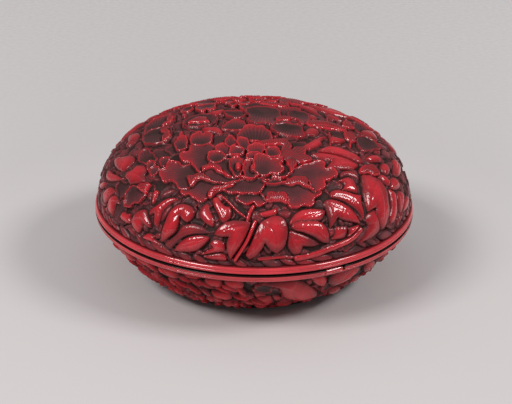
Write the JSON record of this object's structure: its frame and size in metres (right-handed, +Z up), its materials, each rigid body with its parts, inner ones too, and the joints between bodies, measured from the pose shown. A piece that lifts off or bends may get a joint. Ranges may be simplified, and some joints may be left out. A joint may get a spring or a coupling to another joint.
{
  "type": "covered box",
  "caption": "Round carved red lacquer box with a domed lift-off lid, peony and leaf relief, black lacquer lining, a locating collar and a low foot ring.",
  "frame": {"origin": "on the table, under the centre of the foot ring", "axes": "+Z up along the axis that both halves are turned about; -Y towards the side of the lid with the large peony"},
  "size_m": [0.15, 0.15, 0.0744],
  "materials": {
    "carved_red_lacquer": "deeply carved, polished on top, dark in the cuts",
    "smooth_red_lacquer": "polished by handling, with fine age cracks",
    "black_lacquer": "soft gloss with faint brush marks",
    "cloth_and_clay": "matt woven cloth filled with lacquer and clay",
    "turned_wood": "bare turned wood, sealed under the ground and the lacquer"
  },
  "bodies": {
    "bowl": {"bowl_carved_coat": "carved_red_lacquer", "bowl_moulding": "smooth_red_lacquer", "bowl_cloth_ground": "cloth_and_clay", "bowl_core": "turned_wood", "bowl_lining": "black_lacquer", "collar": "black_lacquer", "foot_ring": "black_lacquer", "underside_coat": "black_lacquer"},
    "lid": {"lid_carved_coat": "carved_red_lacquer", "lid_moulding": "smooth_red_lacquer", "lid_cloth_ground": "cloth_and_clay", "lid_core": "turned_wood", "lid_lining": "black_lacquer"}
  },
  "joints": [
    {"name": "lid_lift", "type": "slide", "parent": "bowl", "child": "lid", "axis": [0, 0, 1], "range_m": [0, 0.06]}
  ]
}
